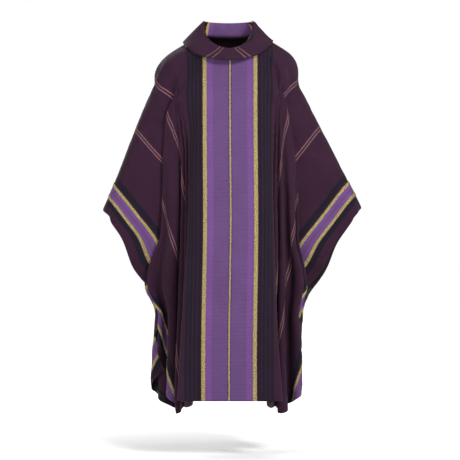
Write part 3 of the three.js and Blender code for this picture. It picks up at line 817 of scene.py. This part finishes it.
# ==== The facings ====
# A strip of dark smooth lining, 32 mm wide, is turned inside along each sleeve end and each hem, so that
# the edge hangs clean. It shows only from inside and below.
FACING_WIDTH = 0.032
FACING_THICKNESS = 0.0008
FACING_LINES = 6
SLEEVE_STEPS, HEM_CORNER_STEPS, HEM_STEPS = 70, 48, 45
SLEEVE_STEP = 0.010
LINING = [(0.35, paint(13, 8, 12)), (0.65, paint(18, 11, 16))]
dark_lining = cloth_material("dark_lining", mottled(26.0, 0.5, LINING), thread=0.0009, uneven=0.25,
                             bump=0.15, roughness=0.55, sheen=0.05)
facing_height = -(cloth_top + LAYER_GAP + FACING_THICKNESS / 2)


def edge_line(inset):
    """Flat places along the right edge at an inset: sleeve end, round corner, hem to the centre line."""
    radius = CORNER_RADIUS - inset
    tip = (HALF_WIDTH - NECK_HALF_WIDTH) * slope_fall - inset * slope_fall
    corner_top = PANEL_LENGTH - CORNER_RADIUS
    straight = [(HALF_WIDTH - inset, d) for d in np.linspace(tip, corner_top, SLEEVE_STEPS)]
    middle = HALF_WIDTH - CORNER_RADIUS
    bent = [(middle + radius * math.cos(a), corner_top + radius * math.sin(a))
            for a in np.linspace(0, math.pi / 2, HEM_CORNER_STEPS)]
    level = [(x, PANEL_LENGTH - inset) for x in np.linspace(middle, 0, HEM_STEPS)]
    return np.array(straight), np.array(bent[1:] + level[1:])


def facing_points(hand, part):
    """Flat grid of a facing: across its width by along the edge."""
    insets = np.linspace(EDGE_INSET, FACING_WIDTH, FACING_LINES)
    return np.array([edge_line(inset)[part] for inset in insets]) * np.array([hand, 1])


for name, hand in (("left", -1), ("right", 1)):
    halves = []
    for side in ("front", "back"):
        grid = facing_points(hand, 0)
        halves.append(surfaces[side].at(grid.reshape(-1, 2), facing_height).reshape(FACING_LINES, -1, 3))
    front, back = halves[0][:, ::-1], halves[1]
    seam_row = (front[:, -1:] + back[:, :1]) / 2
    points = np.concatenate([front[:, :-1], seam_row, back[:, 1:]], 1)
    across = np.broadcast_to(np.linspace(0, FACING_WIDTH, FACING_LINES)[:, None], points.shape[:2])
    along = np.broadcast_to(np.arange(points.shape[1])[None] * SLEEVE_STEP, points.shape[:2])
    faces = grid_faces(*points.shape[:2])
    if hand < 0:
        faces = [f[::-1] for f in faces]
    strip = sheet_piece(name + "_sleeve_lining", points.reshape(-1, 3), faces,
                        np.stack([across, along], 2).reshape(-1, 2), FACING_THICKNESS)
    finish_piece(strip, dark_lining, name + "_sleeve_facing")
    sewn_on["front"].append(strip)
for side in ("front", "back"):
    right = facing_points(1, 1)
    left = facing_points(-1, 1)
    grid = np.concatenate([left, right[:, ::-1][:, 1:]], 1)
    strip = laid_sheet(side + "_hem_lining", side, grid, facing_height, FACING_THICKNESS)
    finish_piece(strip, dark_lining, side + "_hem_facing")
    sewn_on[side].append(strip)


# ==== The neck binding ====
# A narrow tape of the dark lining covers the collar seam inside the neck edge. It is eased round the
# curve and sewn down flat along both of its edges.
BINDING_WIDTH = 0.020
BINDING_LINES = 5
BINDING_STEPS = 41
BINDING_PATTERN = 0.6
binding_rows = []
for side in ("front", "back"):
    turn = np.linspace(-math.pi / 2, math.pi / 2, BINDING_STEPS)
    if side == "back":
        turn = turn[::-1][1:-1]
    neck = np.stack([NECK_HALF_WIDTH * np.sin(turn), NECK_DROP[side] * np.cos(turn)], 1)
    away = np.stack([np.sin(turn) / NECK_HALF_WIDTH, np.cos(turn) / NECK_DROP[side]], 1)
    away /= np.linalg.norm(away, axis=1, keepdims=True)
    rows = [neck + away * d for d in np.linspace(0, BINDING_WIDTH, BINDING_LINES)]
    binding_rows.append([surfaces[side].at(row, facing_height) for row in rows])
points = np.array([np.vstack([a, b]) for a, b in zip(*binding_rows)])
around = points.shape[1]


def ring_faces(rows, columns):
    return [(i * columns + j, i * columns + (j + 1) % columns,
             (i + 1) * columns + (j + 1) % columns, (i + 1) * columns + j)
            for i in range(rows - 1) for j in range(columns)]


def ring_flat(rows, columns, length, width):
    """Flat coordinates of a ring, folded there and back so that they meet without a jump."""
    along = length * (0.5 - np.abs(0.5 - np.arange(columns) / columns))
    down = np.linspace(0, width, rows)
    return np.stack(np.broadcast_arrays(along[None], down[:, None]), 2).reshape(-1, 2)


binding = sheet_piece("neck_seam_tape", points.reshape(-1, 3), ring_faces(BINDING_LINES, around),
                      ring_flat(BINDING_LINES, around, BINDING_PATTERN, BINDING_WIDTH), FACING_THICKNESS)
finish_piece(binding, dark_lining, "neck_binding")
ring = points[BINDING_LINES // 2]
neck_round = float(np.linalg.norm(ring - np.roll(ring, -1, axis=0), axis=1).sum())


# ==== The collar ====
# A cowl of the same plum cloth with an interlining and a dark under layer. It is sewn to the neck edge,
# stands up inside to its rim and is turned over outward, low in front and high behind. Two pairs of gold
# pinstripes slant across its front, and a violet band shows inside its back.
COLLAR_LAYER = 0.0010
COLLAR_INTERLINING = 0.0005
COLLAR_GAP = 0.0004
COLLAR_COLUMNS = 120
STAND_ROWS = 9
FALL_ROWS = 13
FOOT_HEIGHT = 0.0017
STAND_LEAN = 0.2
STAND_RISE = 0.016
ROLL_RISE = 0.003
SOFT_WAVES = ((0.0028, 5, 0.0, 0.7), (0.0018, 9, 2.0, 1.9))


def collar_ring(turn, half_width, front, back, front_height, height, power, shift):
    """A closed curve round the neck: turn 0 is the middle of the front."""
    middle, reach = (front + back) / 2, (back - front) / 2
    dip = np.maximum(np.cos(turn), 0) ** power
    return np.stack([shift + half_width * np.sin(turn), middle - reach * np.cos(turn),
                     height + (front_height - height) * dip], 1)


turn = np.linspace(0, 2 * math.pi, COLLAR_COLUMNS, endpoint=False)
rim = collar_ring(turn, half_width=0.086, front=-0.118, back=0.060, front_height=-0.044,
                  height=0.064, power=0.85, shift=-0.006)
edge = collar_ring(turn, half_width=0.158, front=-0.147, back=0.110, front_height=-0.084,
                   height=-0.010, power=1.2, shift=-0.008)
front_part = np.cos(turn) > 0
seam_across = NECK_HALF_WIDTH * np.sin(turn)
foot = np.zeros((COLLAR_COLUMNS, 3))
for side, part in (("front", front_part), ("back", ~front_part)):
    line = np.stack([seam_across[part], neck_top(side, seam_across[part])], 1)
    foot[part] = surfaces[side].at(line, cloth_top + FOOT_HEIGHT)
collar_rows = []
bow = foot * (1 - STAND_LEAN) + rim * STAND_LEAN
bow[:, 2] = (foot[:, 2] + rim[:, 2]) / 2 + STAND_RISE
for t in np.linspace(0, 1, STAND_ROWS)[:-1]:
    collar_rows.append(foot * (1 - t) ** 2 + bow * 2 * t * (1 - t) + rim * t * t)
roll = (rim + edge) / 2
roll[:, 2] += ROLL_RISE
away = np.stack([np.sin(turn), -np.cos(turn), np.zeros_like(turn)], 1)
for t in np.linspace(0, 1, FALL_ROWS):
    row = rim * (1 - t) ** 2 + roll * 2 * t * (1 - t) + edge * t * t
    wave = sum(depth * np.sin(times * turn + twist * t + start) for depth, times, twist, start in SOFT_WAVES)
    collar_rows.append(row + away * (wave * np.sin(math.pi * t))[:, None])
collar_rows = np.array(collar_rows)
total_rows = len(collar_rows)

# The turned-over part lies on the shoulders, just clear of the cloth and its trimmings.
COLLAR_CLEARANCE = 0.0065
NEAR_CLOTH = 0.04
PUSH_ROUNDS = 3
SPREAD_ROUNDS = 4
front_cloth, back_cloth = surfaces["front"], surfaces["back"]
shoulders = BVHTree.FromPolygons(
    np.vstack([front_cloth.co, back_cloth.co]).tolist(),
    front_cloth.faces + [tuple(k + len(front_cloth.co) for k in f) for f in back_cloth.faces])
for _ in range(PUSH_ROUNDS):
    push = np.zeros_like(collar_rows)
    for i in range(STAND_ROWS + 2, total_rows):
        for j in range(COLLAR_COLUMNS):
            point = Vector(collar_rows[i, j])
            nearest, normal, _, distance = shoulders.find_nearest(point)
            lacking = COLLAR_CLEARANCE - (point - nearest).dot(normal)
            if lacking > 0 and distance < NEAR_CLOTH:
                push[i, j] = normal * lacking
    spread = push
    for _ in range(SPREAD_ROUNDS):
        spread = (np.roll(spread, 1, axis=1) + 2 * spread + np.roll(spread, -1, axis=1)) / 4
        spread[1:-1] = (spread[:-2] + 2 * spread[1:-1] + spread[2:]) / 4
    stronger = (np.linalg.norm(push, axis=2) > np.linalg.norm(spread, axis=2))[:, :, None]
    collar_rows = collar_rows + np.where(stronger, push, spread)
along = np.roll(collar_rows, -1, axis=1) - np.roll(collar_rows, 1, axis=1)
down = np.gradient(collar_rows, axis=0)
collar_out = np.cross(down, along)
collar_out /= np.linalg.norm(collar_out, axis=2, keepdims=True)
if (collar_out[-3, :, 0] * np.sin(turn)).sum() < 0:
    collar_out = -collar_out

# The collar is cut across the same striped cloth: the orphrey's violet and gold lie at the middle of the
# back, the navy stripes beside them, and the pinstripe pairs meet at the front.
COLLAR_MEAN_RADIUS = 0.120
PIN_LEAN = math.radians(8.5)
COLLAR_PIN_DEGREES = (-20.5, -12.3, 15.3, 22.5)
BACK_GOLD = paint(150, 134, 84)
COLLAR_PIN = paint(126, 98, 54)
signed_turn = np.where(turn > math.pi, turn - 2 * math.pi, turn)
fall_share = np.clip((np.arange(total_rows) - STAND_ROWS + 1) / (FALL_ROWS - 1), 0, 1)
lean = np.sign(signed_turn) * PIN_LEAN * np.cos(signed_turn / 2)
slanted = signed_turn[None] - lean[None] * fall_share[:, None]
row_run = np.concatenate([[0], np.cumsum(np.linalg.norm(np.diff(collar_rows, axis=0), axis=2).mean(1))])
collar_flat = np.stack([slanted * COLLAR_MEAN_RADIUS,
                        np.broadcast_to(row_run[:, None], slanted.shape)], 2)


def collar_colour(tree, flat):
    across = add_node(tree, "ShaderNodeSeparateXYZ", inputs={0: flat}).outputs[0]
    pins = [math.radians(degrees) * COLLAR_MEAN_RADIUS for degrees in COLLAR_PIN_DEGREES]
    plain = stripe_colours(tree, across, PLUM, [(PIN_VIOLET, 0.0085, pins), (COLLAR_PIN, 0.0018, pins)])
    behind = calc(tree, "SUBTRACT", math.pi * COLLAR_MEAN_RADIUS, calc(tree, "ABSOLUTE", across))
    return stripe_colours(tree, behind, plain, [
        (VIOLET, 0.205, [0.0]), (LIGHT_VIOLET, 0.024, [0.0904]), (BACK_GOLD, 0.017, [0.1109]),
        (NAVY, 0.0107, [0.131, 0.149, 0.167, 0.185])])


collar_twill = cloth_material("collar_twill", collar_colour, **TWILL)
layer_low = COLLAR_INTERLINING / 2 + COLLAR_GAP


def close_round(piece, length):
    """Moves the flat places over where they jump at the middle of the back."""
    places = piece.data.uv_layers["flat"].data
    for face in piece.data.polygons:
        across = [places[k].uv.x for k in face.loop_indices]
        if max(across) - min(across) > length / 2:
            for k in face.loop_indices:
                if places[k].uv.x > 0:
                    places[k].uv.x -= length


for name, node, height, thickness, material, slot in (
        ("cowl_outer", "collar_outer", layer_low + COLLAR_LAYER / 2, COLLAR_LAYER, collar_twill,
         "plum_cloth"),
        ("cowl_interlining", "collar_interlining", 0.0, COLLAR_INTERLINING, dark_lining, "dark_lining"),
        ("cowl_under", "collar_under", -layer_low - COLLAR_LAYER / 2, COLLAR_LAYER, dark_lining,
         "dark_lining")):
    points = (collar_rows + collar_out * height).reshape(-1, 3)
    piece = sheet_piece(name, points, ring_faces(total_rows, COLLAR_COLUMNS),
                        collar_flat.reshape(-1, 2), thickness)
    close_round(piece, 2 * math.pi * COLLAR_MEAN_RADIUS)
    finish_piece(piece, material, node)


# ==== The floor, light and camera ====
# A plain pale studio: one floor plane below the hem that glows, a painted light that grows with distance
# until it meets the white surround, a key lamp from the front right, a weak fill from the front left,
# one lamp behind and one above.
FLOOR_HEIGHT = -1.46
bpy.ops.mesh.primitive_plane_add(size=30, location=(0, 0, FLOOR_HEIGHT))
floor = bpy.context.active_object
floor.name = "studio_floor"
pale = bpy.data.materials.new("glowing_pale_floor")
pale.use_nodes = True
floor_glow_shader = pale.node_tree.nodes["Principled BSDF"]
floor_glow_shader.inputs["Base Color"].default_value = (0.9, 0.9, 0.9, 1)
floor_glow_shader.inputs["Roughness"].default_value = 0.9
# Painted light: the floor glows, a quarter of white within half a metre of the middle and full white from 4.5
# m.
floor_glow_shader.inputs["Emission Strength"].default_value = 1.0
place = add_node(pale.node_tree, "ShaderNodeTexCoord").outputs["Object"]
far = add_node(pale.node_tree, "ShaderNodeVectorMath", {"operation": "LENGTH"}, {0: place}).outputs["Value"]
glow = add_node(pale.node_tree, "ShaderNodeMapRange", inputs={
    "Value": far, "From Min": 0.5, "From Max": 4.5, "To Min": 0.25, "To Max": 1.0}).outputs[0]
pale.node_tree.links.new(glow, floor_glow_shader.inputs["Emission Color"])
floor.data.materials.append(pale)

# The surround looks white, and lights the cloth less, so that its folds keep their depth.
AMBIENT = 0.13
world = bpy.data.worlds.new("studio")
scene.world = world
world.use_nodes = True
surround = world.node_tree
surround.nodes["Background"].inputs["Color"].default_value = (1, 1, 1, 1)
ray = add_node(surround, "ShaderNodeLightPath").outputs["Is Camera Ray"]
level = calc(surround, "ADD", AMBIENT, calc(surround, "MULTIPLY", ray, 1 - AMBIENT))
surround.links.new(level, surround.nodes["Background"].inputs["Strength"])

# Each lamp: name, place, power and size. All point at the middle of the garment.
AIM = Vector((0, 0, -0.65))
LAMPS = [("key", (2.4, -4.2, 2.2), 290, 1.4), ("fill", (-3.4, -3.4, 0.8), 70, 1.6),
         ("rear", (-2.6, 4.0, 1.6), 170, 1.8), ("top", (0.3, -0.6, 3.0), 50, 1.4)]
for name, place, power, size in LAMPS:
    lamp = bpy.data.lights.new(name, "AREA")
    lamp.energy = power
    lamp.size = size
    holder = bpy.data.objects.new(name, lamp)
    scene.collection.objects.link(holder)
    holder.location = place
    holder.rotation_euler = (Vector(place) - AIM).to_track_quat("Z", "Y").to_euler()

CAMERA_DISTANCE = 7.0
CAMERA_HEIGHT = -0.675
VIEW_HEIGHT = 460 * 0.00355
SENSOR = 36
lens = bpy.data.cameras.new("camera")
camera = bpy.data.objects.new("camera", lens)
scene.collection.objects.link(camera)
camera.location = (0, -CAMERA_DISTANCE, CAMERA_HEIGHT)
camera.rotation_euler = (math.pi / 2, 0, 0)
lens.sensor_width = SENSOR
lens.lens = SENSOR * CAMERA_DISTANCE / VIEW_HEIGHT
scene.camera = camera
scene.view_settings.view_transform = "Standard"
